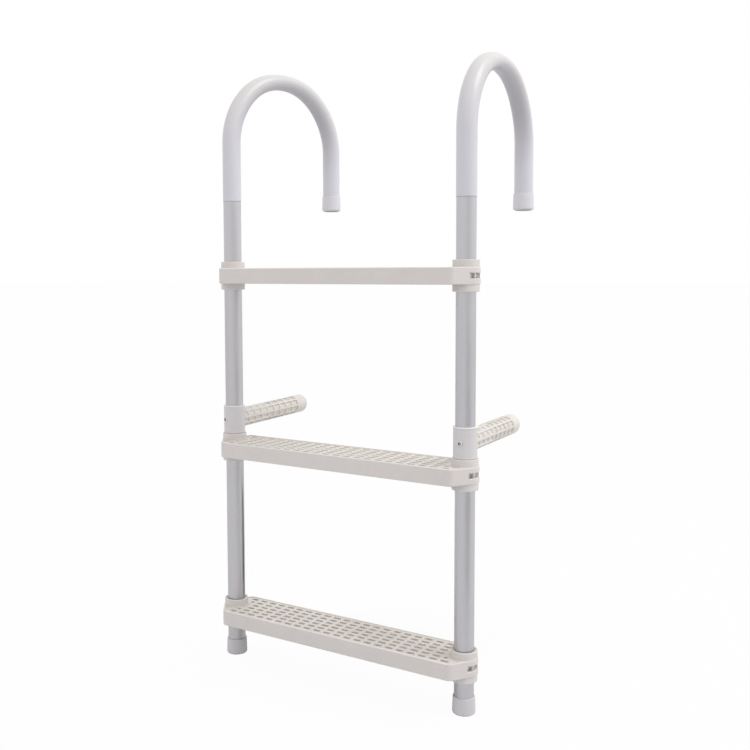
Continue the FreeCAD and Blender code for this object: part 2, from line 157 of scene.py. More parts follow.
def drawn_aluminium(name, light, dark, roughness):
    """Satin metal with lines along its height."""
    material, tree, shader = new_material(name)
    grain = place_group(tree, surface_grain, Grain_scale=2200.0, Cloud_scale=18.0)
    lines = place_group(tree, draw_lines, Line_scale=1100.0)
    streaks = spread(tree, lines.outputs["Lines"], 0.0, 1.0)
    shader.inputs["Metallic"].default_value = 1.0
    tree.links.new(blend_colour(tree, streaks, dark, light), shader.inputs["Base Color"])
    clouds = spread(tree, grain.outputs["Cloud"], roughness - 0.05, roughness + 0.05)
    tree.links.new(clouds, shader.inputs["Roughness"])
    add_bump(tree, shader, lines.outputs["Lines"], 0.00003, 0.35)
    return material


def dress_node(node, material):
    """Gives a carried-over solid its finish."""
    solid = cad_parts[node]
    solid.data.materials.clear()
    solid.data.materials.append(material)


rail_finish = drawn_aluminium(
    "satin anodised rail",
    light=(0.635, 0.624, 0.65),
    dark=(0.595, 0.584, 0.61),
    roughness=0.36,
)
for side in ("left", "right"):
    dress_node(side + "_rail", rail_finish)

# Steps. Each is one moulding in off-white plastic: a slotted tread on crossing ribs, a flange
# all round it with a raised rim, and at each end a collar that is riveted to the rail through
# a window. All three come out of the same mould.


def alone():
    bpy.ops.object.select_all(action="DESELECT")


def make_active(piece):
    alone()
    piece.select_set(True)
    bpy.context.view_layer.objects.active = piece


def fix_place(piece):
    """Puts a piece's place, turn and size into its mesh."""
    make_active(piece)
    bpy.ops.object.transform_apply(location=True, rotation=True, scale=True)


def settle(piece, name):
    """Names a new primitive and fixes its place."""
    piece.name = name
    piece.data.name = name
    fix_place(piece)
    return piece


def add_box(name, centre, size):
    alone()
    bpy.ops.mesh.primitive_cube_add(size=1, location=centre, scale=size)
    return settle(bpy.context.object, name)


def add_cylinder(name, centre, radius, height, sides=96):
    alone()
    bpy.ops.mesh.primitive_cylinder_add(
        vertices=sides, radius=radius, depth=height, location=centre
    )
    return settle(bpy.context.object, name)


def copy_of(piece):
    make_active(piece)
    bpy.ops.object.duplicate()
    return bpy.context.object


def pick_faces(piece, wanted):
    """Goes into edit mode with the faces selected whose centre and normal are wanted."""
    make_active(piece)
    bpy.ops.object.mode_set(mode="EDIT")
    bpy.ops.mesh.select_mode(type="FACE")
    bpy.ops.mesh.select_all(action="DESELECT")
    bpy.ops.object.mode_set(mode="OBJECT")
    for face in piece.data.polygons:
        face.select = wanted(face.center, face.normal)
    bpy.ops.object.mode_set(mode="EDIT")


def pick_edges(piece, wanted):
    """Goes into edit mode with the edges selected whose two ends are wanted."""
    make_active(piece)
    bpy.ops.object.mode_set(mode="EDIT")
    bpy.ops.mesh.select_mode(type="EDGE")
    bpy.ops.mesh.select_all(action="DESELECT")
    bpy.ops.object.mode_set(mode="OBJECT")
    points = piece.data.vertices
    for edge in piece.data.edges:
        edge.select = wanted(points[edge.vertices[0]].co, points[edge.vertices[1]].co)
    bpy.ops.object.mode_set(mode="EDIT")


def done_editing():
    bpy.ops.object.mode_set(mode="OBJECT")


def facing_up(place, normal):
    return normal.z > 0.99


def facing_down(place, normal):
    return normal.z < -0.99


def round_off(piece, wanted, offset, segments, pick=pick_faces):
    """Rounds the edges round the wanted faces, or the wanted edges themselves."""
    pick(piece, wanted)
    bpy.ops.mesh.bevel(offset=offset, segments=segments, affect="EDGES")
    done_editing()


def push_out(value):
    """Extrudes what is selected."""
    bpy.ops.mesh.extrude_region_move(TRANSFORM_OT_translate={"value": value})


def join_pieces(pieces):
    """Puts several meshes into the first of them."""
    alone()
    for piece in pieces:
        piece.select_set(True)
    bpy.context.view_layer.objects.active = pieces[0]
    bpy.ops.object.join()
    return pieces[0]


def combine(piece, tool, operation, solver="EXACT"):
    """Joins the tool to the piece or cuts it out of it, and takes the tool away."""
    make_active(piece)
    cut = piece.modifiers.new("cut", "BOOLEAN")
    cut.operation = operation
    cut.solver = solver
    cut.object = tool
    bpy.ops.object.modifier_apply(modifier=cut.name)
    bpy.data.objects.remove(tool, do_unlink=True)


def repeat(piece, *rows):
    """Repeats a mesh along one or more rows, each an offset and a count."""
    make_active(piece)
    for offset, count in rows:
        array = piece.modifiers.new("array", "ARRAY")
        array.use_relative_offset = False
        array.use_constant_offset = True
        array.constant_offset_displace = offset
        array.count = count
        bpy.ops.object.modifier_apply(modifier=array.name)


def smooth(piece, angle=35.0):
    """Shades curved faces smooth and keeps flat ones flat."""
    make_active(piece)
    bpy.ops.object.shade_smooth_by_angle(angle=math.radians(angle))
    weights = piece.modifiers.new("flat faces", "WEIGHTED_NORMAL")
    weights.keep_sharp = True
    bpy.ops.object.modifier_apply(modifier=weights.name)


def centre_of(node):
    low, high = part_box(node)
    return (low + high) / 2


def centre_x(piece):
    across = [vertex.co.x for vertex in piece.data.vertices]
    return (min(across) + max(across)) / 2


rail_axis = {side: centre_of(side + "_rail") for side in ("left", "right")}
rail_low, rail_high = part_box("right_rail")
rail_radius = (rail_high.x - rail_low.x) / 2
rail_line = rail_axis["right"].y
half_spacing = (rail_axis["right"].x - rail_axis["left"].x) / 2
step_low, step_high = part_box("bottom_step")
step_middle = (step_low.z + step_high.z) / 2
step_depth = step_high.y - step_low.y
collar_height = step_high.z - step_low.z
end_radius = step_high.x - rail_axis["right"].x
collar_radius = end_radius - 0.001
collar_round = 0.0012
bore_radius = rail_radius + 0.00005
corner_reach = half_spacing - 0.0035
corner_round = 0.0041
flange_height = 0.0218
flange_wall = 0.003
tread_thickness = 0.0036
tread_top = step_middle + flange_height / 2
top_round = 0.0016
bottom_round = 0.0012
rim_width = 0.0032
pad_radius = 0.020
recess_depth = 0.0008
hair = 1e-5


def at_both_rails(name, middle, radius, height):
    """Two upright cylinders, one on the axis of each rail."""
    return [
        add_cylinder(name, (axis.x, rail_line, middle), radius, height)
        for axis in rail_axis.values()
    ]


def step_plan(name, low, high):
    """The step's outline as a prism: straight sides drawn in to a round end at each rail."""
    middle = (low + high) / 2
    block = add_box(name, (0, rail_line, middle), (2 * corner_reach, step_depth, high - low))
    block = join_pieces([block] + at_both_rails("end", middle, end_radius, high - low))
    make_active(block)
    bpy.ops.object.mode_set(mode="EDIT")
    bpy.ops.mesh.select_all(action="SELECT")
    bpy.ops.mesh.convex_hull()
    bpy.ops.mesh.dissolve_limited(angle_limit=math.radians(1))
    done_editing()

    def is_corner(a, b):
        upright = abs(a.x - b.x) < hair and abs(a.y - b.y) < hair
        return upright and abs(abs(a.x) - corner_reach) < hair

    round_off(block, is_corner, corner_round, 8, pick_edges)
    return block


body = step_plan("step", tread_top - flange_height, tread_top)
round_off(body, facing_up, top_round, 5)
round_off(body, facing_down, bottom_round, 4)
pick_faces(body, facing_down)
bpy.ops.mesh.inset(thickness=flange_wall - bottom_round)
push_out((0, 0, flange_height - tread_thickness))
done_editing()

recess = step_plan("recess", tread_top, tread_top + tread_thickness)
pick_faces(recess, facing_down)
bpy.ops.mesh.inset(thickness=rim_width)
bpy.ops.mesh.select_all(action="INVERT")
bpy.ops.mesh.delete(type="FACE")
bpy.ops.mesh.select_all(action="SELECT")
bpy.ops.transform.translate(value=(0, 0, -recess_depth))
push_out((0, 0, tread_thickness))
bpy.ops.mesh.select_all(action="SELECT")
bpy.ops.mesh.normals_make_consistent(inside=False)
done_editing()
pads = at_both_rails("pad", tread_top, pad_radius, 4 * tread_thickness)
combine(recess, join_pieces(pads), "DIFFERENCE")
combine(body, recess, "DIFFERENCE")

slot_length = 0.0112
slot_width = 0.0052
slot_round = 0.0018
slot_flare = 0.0004
short_slot_length = 0.0052
column_pitch = 0.0161
row_pitch = 0.01055
inner_columns = 20
rows = 6
rib_depth = 0.012
rib_thickness = 0.002
rib_middle = tread_top - tread_thickness - rib_depth / 2 + tread_thickness / 4
rib_length = 2 * half_spacing - collar_radius
cross_rib_pitch = 4 * column_pitch
cross_rib_count = 5
long_ribs = add_box(
    "long ribs",
    (0, rail_line - 2 * row_pitch, rib_middle),
    (rib_length, rib_thickness, rib_depth + tread_thickness / 2),
)
repeat(long_ribs, ((0, row_pitch, 0), rows - 1))
combine(body, long_ribs, "UNION")
cross_ribs = add_box(
    "cross ribs",
    (-(cross_rib_count - 1) / 2 * cross_rib_pitch, rail_line, rib_middle),
    (rib_thickness, step_depth - flange_wall, rib_depth + tread_thickness / 2),
)
repeat(cross_ribs, ((cross_rib_pitch, 0, 0), cross_rib_count))
combine(body, cross_ribs, "UNION")

collars = at_both_rails("collar", step_middle, collar_radius, collar_height)
for collar in collars:
    round_off(collar, lambda place, normal: abs(normal.z) > 0.99, collar_round, 4)
combine(body, join_pieces(collars), "UNION")

slot = add_box("slot", (0, 0, 0), (slot_length, slot_width, 2 * tread_thickness))
round_off(slot, lambda a, b: abs(a.z - b.z) > tread_thickness, slot_round, 4, pick_edges)
pick_faces(slot, facing_up)
push_out((0, 0, 2 * slot_flare))
bpy.ops.transform.resize(
    value=(1 + 4 * slot_flare / slot_length, 1 + 4 * slot_flare / slot_width, 1),
    center_override=(0, 0, 0),
)
done_editing()
slot.location = (0, rail_line, tread_top - recess_depth - slot_flare - tread_thickness)
outer_slot = copy_of(slot)
short_slot = copy_of(slot)
first_column = -(inner_columns - 1) / 2 * column_pitch
first_row = -(rows - 1) / 2 * row_pitch
short_slot.scale.x = short_slot_length / slot_length
short_slot.location.x = first_column - column_pitch + (slot_length - short_slot_length) / 2
short_slot.location.y += first_row + row_pitch
slot.location.x += first_column
slot.location.y += first_row
outer_slot.location.x += first_column - column_pitch
outer_slot.location.y += first_row
for cutter in (slot, outer_slot, short_slot):
    fix_place(cutter)
short_reach = -2 * centre_x(short_slot)
repeat(slot, ((column_pitch, 0, 0), inner_columns), ((0, row_pitch, 0), rows))
outer_reach = (inner_columns + 1) * column_pitch
repeat(outer_slot, ((outer_reach, 0, 0), 2), ((0, (rows - 1) * row_pitch, 0), 2))
repeat(short_slot, ((short_reach, 0, 0), 2), ((0, (rows - 3) * row_pitch, 0), 2))
combine(body, join_pieces([slot, outer_slot, short_slot]), "DIFFERENCE")

bores = at_both_rails("bore", step_middle, bore_radius, 2 * collar_height)
combine(body, join_pieces(bores), "DIFFERENCE")
mouth_radius = 0.0146
mouth_depth = 0.0014
mouths = at_both_rails("mouth", step_high.z, mouth_radius, 2 * mouth_depth)
combine(body, join_pieces(mouths), "DIFFERENCE")

window_height = 0.0066
window_half_sweep = math.radians(56)
bar_angle = math.radians(24)
bar_width = 0.0012
bar_end = 0.017
sill_slope = 0.0007


def window_cutter(side):
    """A flared slot round the outer end of a collar, left standing at two set-back bars."""
    outward = 1 if side == "right" else -1
    axis = rail_axis[side]
    centre = Vector((axis.x, rail_line, step_middle))
    reach = 2 * sill_slope
    piece = add_cylinder("window", centre, end_radius + sill_slope, window_height + 2 * reach)
    for end, inward in ((facing_up, -reach), (facing_down, reach)):
        pick_faces(piece, end)
        bpy.ops.mesh.inset(thickness=reach)
        bpy.ops.transform.translate(value=(0, 0, inward))
        done_editing()
    for angle, keep in ((-window_half_sweep, 1), (window_half_sweep, -1)):
        make_active(piece)
        bpy.ops.object.mode_set(mode="EDIT")
        bpy.ops.mesh.select_all(action="SELECT")
        side_on = (-math.sin(angle) * keep * outward, math.cos(angle) * keep, 0)
        bpy.ops.mesh.bisect(plane_co=centre, plane_no=side_on, use_fill=True, clear_inner=True)
        done_editing()
    for angle in (-bar_angle, bar_angle):
        bar = add_box("bar", (bar_end / 2, 0, 0), (bar_end, bar_width, 3 * window_height))
        bar.rotation_euler = (0, 0, angle if outward > 0 else math.pi - angle)
        bar.location = centre
        fix_place(bar)
        combine(piece, bar, "DIFFERENCE")
    return piece


combine(body, join_pieces([window_cutter("left"), window_cutter("right")]), "DIFFERENCE")


def math_node(tree, operation, first, second):
    """A math node fed by sockets or plain numbers, and its result."""
    node = tree.nodes.new("ShaderNodeMath")
    node.operation = operation
    for socket, source in zip(node.inputs, (first, second)):
        if isinstance(source, (int, float)):
            socket.default_value = source
        else:
            tree.links.new(source, socket)
    return node.outputs[0]


def make_scuffs():
    """A mask of short fine scratches, gathered in the patches that get touched and rubbed."""
    group, given, result = new_group(
        "scuffs", (("Scratch scale", 260.0), ("Patch scale", 30.0), ("Amount", 0.5)), ("Scuff",)
    )
    marks = []
    for stretch in ((1, 1, 0.08), (0.08, 1, 1)):
        noise = noise_node(group, given.outputs["Scratch scale"], stretch=stretch, detail=6.0)
        marks.append(spread(group, noise, -1.2, 1.0))
    crossed = math_node(group, "MAXIMUM", marks[0], marks[1])
    patches = spread(group, noise_node(group, given.outputs["Patch scale"]), -0.3, 1.0)
    kept = math_node(group, "MULTIPLY", math_node(group, "MAXIMUM", crossed, 0.0), patches)
    worn = math_node(group, "MAXIMUM", kept, 0.0)
    scaled = math_node(group, "MULTIPLY", worn, given.outputs["Amount"])
    group.links.new(scaled, result.inputs["Scuff"])
    return group


scuffs = make_scuffs()


def moulded_plastic(name, colour, shade, roughness, grain_depth):
    """Plastic with a faint moulded grain, a cloudy tone and fine scuffs."""
    material, tree, shader = new_material(name)
    grain = place_group(tree, surface_grain, Grain_scale=1400.0, Cloud_scale=22.0)
    wear = place_group(tree, scuffs).outputs["Scuff"]
    cloud = spread(tree, grain.outputs["Cloud"], 0.0, 1.0)
    base = blend_colour(tree, cloud, shade, colour)
    rubbed_and_shaded = tuple(part * 0.9 for part in colour)
    tree.links.new(blend_colour(tree, wear, base, rubbed_and_shaded), shader.inputs["Base Color"])
    grainy = spread(tree, grain.outputs["Grain"], roughness - 0.04, roughness + 0.04)
    rougher = math_node(tree, "MULTIPLY", wear, 0.25)
    tree.links.new(math_node(tree, "ADD", grainy, rougher), shader.inputs["Roughness"])
    add_bump(tree, shader, grain.outputs["Grain"], grain_depth, 0.5)
    return material


def paint(piece, finish, *patches):
    """Finishes a piece all over, and the faces that a patch wants in the patch's own finish."""
    piece.data.materials.clear()
    piece.data.materials.append(finish)
    for index, (patch, wanted) in enumerate(patches, start=1):
        piece.data.materials.append(patch)
        for face in piece.data.polygons:
            if wanted(face.center):
                face.material_index = index


def stand_in(piece, body_name, node):
    """Puts a modelled piece in place of its solid."""
    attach(piece, body_name)
    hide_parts(node)


step_finish = moulded_plastic(
    "off-white step plastic",
    colour=(0.72, 0.68, 0.66),
    shade=(0.69, 0.65, 0.63),
    roughness=0.38,
    grain_depth=0.00004,
)
# The tread tops are painted a little lighter and warmer than the flange: painted top light.
top_lit_tread_finish = moulded_plastic(
    "tread plastic with painted top light",
    colour=(0.75, 0.70, 0.655),
    shade=(0.71, 0.66, 0.615),
    roughness=0.36,
    grain_depth=0.00006,
)
# The top of the rim round the tread is painted lighter still: a painted highlight along the rim.
highlight_rim_finish = moulded_plastic(
    "rim plastic with painted highlight",
    colour=(0.82, 0.775, 0.73),
    shade=(0.79, 0.745, 0.70),
    roughness=0.28,
    grain_depth=0.00003,
)
tread_end_margin = 0.002
# How far below the tread top the rim's painted highlight reaches.
highlight_depth = 0.75 * top_round


def within_rim(place):
    across = abs(place.x) < corner_reach - tread_end_margin
    return across and abs(place.y - rail_line) < step_depth / 2 - rim_width


def on_tread(place):
    return within_rim(place) and recess_depth / 2 < tread_top - place.z < tread_thickness


def on_rim(place):
    near_top = tread_top - place.z < highlight_depth
    return near_top and not within_rim(place) and abs(place.x) < corner_reach - pad_radius


smooth(body)
# The tread gets its painted top light here, and the rim its painted highlight.
paint(body, step_finish, (top_lit_tread_finish, on_tread), (highlight_rim_finish, on_rim))
mouldings = {"bottom": body}
for place in ("middle", "top"):
    mouldings[place] = copy_of(body)
    mouldings[place].location.z = centre_of(place + "_step").z - step_middle
    fix_place(mouldings[place])
for place, moulding in mouldings.items():
    moulding.name = place + "_step_moulding"
    moulding.data.name = moulding.name
    stand_in(moulding, "ladder", place + "_step")

# Rivets. Small steel rivets with domed heads, gone dull, two to a step. Each is set through
# the wall of a collar, inside its window, into the hole in the rail.


def bare_steel(name, colour, roughness):
    """Steel with a fine grain and darker clouds."""
    material, tree, shader = new_material(name)
    grain = place_group(tree, surface_grain, Grain_scale=3000.0, Cloud_scale=400.0)
    shader.inputs["Metallic"].default_value = 1.0
    cloud = spread(tree, grain.outputs["Cloud"], 0.0, 1.0)
    darker = tuple(part * 0.8 for part in colour)
    tree.links.new(blend_colour(tree, cloud, darker, colour), shader.inputs["Base Color"])
    grainy = spread(tree, grain.outputs["Grain"], roughness - 0.06, roughness + 0.06)
    tree.links.new(grainy, shader.inputs["Roughness"])
    add_bump(tree, shader, grain.outputs["Grain"], 0.00002, 0.5)
    return material


rivet_finish = bare_steel("dull rivet steel", colour=(0.66, 0.62, 0.60), roughness=0.4)
for side in ("left", "right"):
    for place in ("bottom", "middle", "top"):
        dress_node("%s_%s_rivet" % (side, place), rivet_finish)

# Feet. A moulded cap pushed on to the end of each rail, a little wider at its sole, with a
# rounded rim round its mouth and a rounded edge to stand on.
foot_finish = moulded_plastic(
    "lilac grey foot plastic",
    colour=(0.65, 0.635, 0.665),
    shade=(0.62, 0.605, 0.635),
    roughness=0.5,
    grain_depth=0.00004,
)


def end_cap(name, node, mouth_radius, sole_radius, bore_radius, floor, edge, edge_height, rim):
    """A cup: a cylinder that is tapered, rounded at both ends and hollowed from its mouth. The
    rounding of its sole is edge wide and is pressed together to edge_height."""
    low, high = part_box(node)
    centre = (low + high) / 2
    spare = edge - edge_height
    cap = add_cylinder(
        name, centre - Vector((0, 0, spare / 2)), sole_radius, high.z - low.z + spare, sides=72
    )
    pick_faces(cap, facing_up)
    shrink = mouth_radius / sole_radius
    bpy.ops.transform.resize(
        value=(shrink, shrink, 1), center_override=(centre.x, centre.y, high.z)
    )
    done_editing()
    round_off(cap, facing_down, edge, 6)
    if spare > 0:
        round_top = low.z + edge_height
        pick_faces(cap, lambda place, normal: place.z < round_top - hair)
        bpy.ops.transform.resize(
            value=(1, 1, edge_height / edge), center_override=(centre.x, centre.y, round_top)
        )
        done_editing()
    pick_faces(cap, facing_up)
    bpy.ops.mesh.inset(thickness=mouth_radius - bore_radius)
    push_out((0, 0, floor - (high.z - low.z)))
    done_editing()

    def on_mouth(a, b):
        level = abs(a.z - high.z) < hair and abs(b.z - high.z) < hair
        return level and math.hypot(a.x - centre.x, a.y - centre.y) > mouth_radius - 10 * hair

    round_off(cap, on_mouth, rim, 4, pick_edges)
    return cap


for side in ("left", "right"):
    foot = end_cap(
        side + "_foot_cap",
        side + "_foot",
        mouth_radius=0.0142,
        sole_radius=0.015,
        bore_radius=bore_radius,
        floor=0.004,
        edge=0.0025,
        edge_height=0.0025,
        rim=0.0008,
    )
    smooth(foot)
    paint(foot, foot_finish)
    stand_in(foot, "ladder", side + "_foot")

# Hooks. Each is a bent tube, which turns in the rail, in a soft white vinyl sleeve that is
# pulled on over it and ends just above the rail. The vinyl is painted warmer over the top as
# painted top light, and painted grey inside the bend as painted shade. The free end has a
# moulded cap whose sole is painted dark grey as painted shade.
sleeve_radius = 0.0131
sleeve_wall = 0.0021
sleeve_edge = 0.0005
bend_steps = 72
bend_flattening = 0.86
flattened_reach = 0.085
crown_half_width = 0.003
crown_half_height = 0.02
vinyl_colour = (0.665, 0.655, 0.71)
vinyl_shade = (0.645, 0.635, 0.685)
# Painted top light and painted shade for the vinyl: warmer over the top, grey inside the bend.
vinyl_top_light = (0.655, 0.635, 0.635)
vinyl_painted_shade = (0.48, 0.465, 0.505)
vinyl_roughness = 0.3
top_light_span = (-0.01, 0.07)
painted_shade_span = (-0.04, 0.04)
shade_fades = 0.005
shade_full = 0.012
sole_band = 0.0012


def hook_line(side):
    """Distance from the rail to the hook's free end, and the turn of the hook in the rail."""
    along = centre_of(side + "_hook_cap") - rail_axis[side]
    return math.hypot(along.x, along.y), -math.atan2(along.x, along.y)


def hook_skin(side):
    """The sleeve: a ring drawn up the leg, spun over the bend and drawn down to the cap. The
    bend comes out flatter than the legs."""
    reach, turn = hook_line(side)
    axis = rail_axis[side]
    low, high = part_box(side + "_hook_sleeve")
    leg_top = high.z - sleeve_radius - reach / 2
    free_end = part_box(side + "_hook_cap")[1].z
    alone()
    bpy.ops.mesh.primitive_circle_add(
        vertices=48, radius=sleeve_radius - sleeve_edge, location=(0, 0, low.z)
    )
    skin = settle(bpy.context.object, side + "_hook_skin")
    bpy.ops.object.mode_set(mode="EDIT")
    bpy.ops.mesh.select_all(action="SELECT")
    grow = sleeve_radius / (sleeve_radius - sleeve_edge)
    push_out((0, 0, sleeve_edge))
    bpy.ops.transform.resize(value=(grow, grow, 1))
    push_out((0, 0, leg_top - low.z - sleeve_edge))
    bpy.ops.mesh.spin(
        steps=bend_steps, angle=math.pi, center=(0, reach / 2, leg_top), axis=(1, 0, 0)
    )
    push_out((0, 0, free_end - leg_top))
    bpy.ops.mesh.select_all(action="SELECT")
    bpy.ops.mesh.remove_doubles(threshold=1e-6)
    bpy.ops.mesh.normals_make_consistent(inside=False)
    done_editing()
    crown = leg_top + reach / 2

    def on_crown(place, normal):
        level = abs(place.z - crown) < crown_half_height
        return level and abs(place.y - reach / 2) < crown_half_width

    pick_faces(skin, on_crown)
    bpy.ops.transform.resize(
        value=(1, 1, bend_flattening),
        center_override=(0, reach / 2, crown),
        use_proportional_edit=True,
        proportional_edit_falloff="SMOOTH",
        proportional_size=flattened_reach,
    )
    done_editing()
    wall = skin.modifiers.new("wall", "SOLIDIFY")
    wall.thickness = sleeve_wall
    wall.offset = -1
    bpy.ops.object.modifier_apply(modifier=wall.name)
    skin.rotation_euler = (0, 0, turn)
    skin.location = (axis.x, axis.y, 0)
    fix_place(skin)
    return skin


def soft_vinyl(side):
    """Glossy soft plastic that waves a little where it was pulled on, painted warmer towards the
    top as painted top light and painted grey inside the bend as painted shade. Both are measured
    from the middle of this hook's bend."""
    material, tree, shader = new_material(side + " hook vinyl")
    grain = place_group(tree, surface_grain, Grain_scale=900.0, Cloud_scale=14.0)
    cloud = spread(tree, grain.outputs["Cloud"], 0.0, 1.0)
    base = blend_colour(tree, cloud, vinyl_shade, vinyl_colour)
    reach, turn = hook_line(side)
    leg_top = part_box(side + "_hook_sleeve")[1].z - sleeve_radius - reach / 2
    from_bend = tree.nodes.new("ShaderNodeMapping")
    from_bend.vector_type = "TEXTURE"
    from_bend.inputs["Rotation"].default_value = (0, 0, turn)
    from_bend.inputs["Location"].default_value = (
        rail_axis[side].x - math.sin(turn) * reach / 2,
        rail_axis[side].y + math.cos(turn) * reach / 2,
        leg_top,
    )
    place = tree.nodes.new("ShaderNodeTexCoord")
    parts = tree.nodes.new("ShaderNodeSeparateXYZ")
    tree.links.new(place.outputs["Object"], from_bend.inputs["Vector"])
    tree.links.new(from_bend.outputs["Vector"], parts.inputs["Vector"])
    up = parts.outputs["Z"]
    across_squared = math_node(tree, "POWER", parts.outputs["Y"], 2.0)
    up_squared = math_node(tree, "POWER", up, 2.0)
    squares = math_node(tree, "ADD", across_squared, up_squared)
    radius = math_node(tree, "POWER", squares, 0.5)
    # Painted shade: the inside of the bend is painted grey, fading out towards the outside.
    inside = spread(tree, radius, 0.0, 1.0, reach / 2 + shade_fades, reach / 2 - shade_full)
    rubbed_and_shaded = math_node(tree, "MULTIPLY", inside, spread(tree, up, 0.0, 1.0, *painted_shade_span))
    # Painted top light: the vinyl is painted warmer towards the top.
    top_lit = blend_colour(tree, spread(tree, up, 0.0, 1.0, *top_light_span), base, vinyl_top_light)
    tree.links.new(blend_colour(tree, rubbed_and_shaded, top_lit, vinyl_painted_shade), shader.inputs["Base Color"])
    rough_low, rough_high = vinyl_roughness - 0.03, vinyl_roughness + 0.03
    grainy = spread(tree, grain.outputs["Grain"], rough_low, rough_high)
    tree.links.new(grainy, shader.inputs["Roughness"])
    add_bump(tree, shader, grain.outputs["Cloud"], 0.0006, 0.25)
    return material


tube_finish = drawn_aluminium(
    "hook tube aluminium",
    light=(0.58, 0.57, 0.60),
    dark=(0.54, 0.53, 0.56),
    roughness=0.34,
)
cap_finish = moulded_plastic(
    "lilac grey cap plastic",
    colour=(0.715, 0.70, 0.74),
    shade=(0.69, 0.675, 0.715),
    roughness=0.42,
    grain_depth=0.00003,
)
# The cap's sole is painted dark grey: painted shade under the cap.
painted_shade_sole_finish = moulded_plastic(
    "cap sole with painted shade",
    colour=(0.32, 0.315, 0.33),
    shade=(0.29, 0.285, 0.30),
    roughness=0.5,
    grain_depth=0.00003,
)
for side in ("left", "right"):
    body_name = side + "_hook"
    skin = hook_skin(side)
    smooth(skin)
    paint(skin, soft_vinyl(side))
    stand_in(skin, body_name, side + "_hook_sleeve")
    cap = end_cap(
        side + "_hook_end",
        side + "_hook_cap",
        mouth_radius=0.0141,
        sole_radius=0.0148,
        bore_radius=rail_radius - 0.0017,
        floor=0.003,
        edge=0.007,
        edge_height=0.0035,
        rim=0.0008,
    )
    smooth(cap)
    sole_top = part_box(side + "_hook_cap")[0].z + sole_band
    paint(cap, cap_finish, (painted_shade_sole_finish, lambda place: place.z < sole_top))
    stand_in(cap, body_name, side + "_hook_cap")
    dress_node(side + "_hook_tube", tube_finish)

# Stand-offs. A sleeve that turns about the rail, with a low lip at each end, carries a long
# moulded arm with rows of shallow pockets all round it. A steel screw with a six-sided recess
# goes through the front of the sleeve.
standoff_turn = {"left": math.radians(-1.9), "right": math.radians(1.5)}
arm_rise = {"left": math.radians(1.4), "right": 0.0}
lip_height = 0.002
lip_depth = 0.0003
lip_round = 0.001
lower_lip_round = 0.0004
sleeve_bore = rail_radius + 0.0001
sleeve_sides = 72


def standoff_sleeve(side):
    """The sleeve as a tube, with its body turned down a little between the lips."""
    low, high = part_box(side + "_standoff_socket")
    axis = rail_axis[side]
    radius = (high.x - low.x) / 2
    centre = Vector((axis.x, axis.y, (low.z + high.z) / 2))
    name = side + "_standoff_sleeve"
    sleeve = add_cylinder(name, centre, radius, high.z - low.z, sleeve_sides)
    round_off(sleeve, facing_up, lip_round, 4)
    round_off(sleeve, facing_down, lower_lip_round, 4)
    bpy.ops.object.mode_set(mode="EDIT")
    for height in (low.z + lip_height, high.z - lip_height):
        inward = lip_depth if height < centre.z else -lip_depth
        for cut in (height, height + inward):
            bpy.ops.mesh.select_all(action="SELECT")
            bpy.ops.mesh.bisect(plane_co=(0, 0, cut), plane_no=(0, 0, 1))
    done_editing()
    body_low = low.z + lip_height + lip_depth / 2
    body_high = high.z - lip_height - lip_depth / 2
    pick_edges(sleeve, lambda a, b: body_low < min(a.z, b.z) and max(a.z, b.z) < body_high)
    shrink = 1 - lip_depth / radius
    bpy.ops.transform.resize(value=(shrink, shrink, 1), center_override=centre)
    done_editing()
    bore = add_cylinder("sleeve bore", centre, sleeve_bore, 2 * (high.z - low.z))
    combine(sleeve, bore, "DIFFERENCE")
    return sleeve, centre, radius


arm_reach = 0.165
arm_start = 0.006
arm_root_radius = 0.0141
arm_tip_radius = 0.0138
arm_round = 0.007
arm_end_band = 0.0273
arm_sides = 72
pocket_rows = 9
pocket_turn = math.radians(25)
pocket_half_angle = math.radians(15)
pocket_length = 0.012
pocket_pitch = 0.015
channel_depth = 0.0007
channel_slope = 0.0005
pocket_depth = 0.0023
pocket_slope = 0.0008


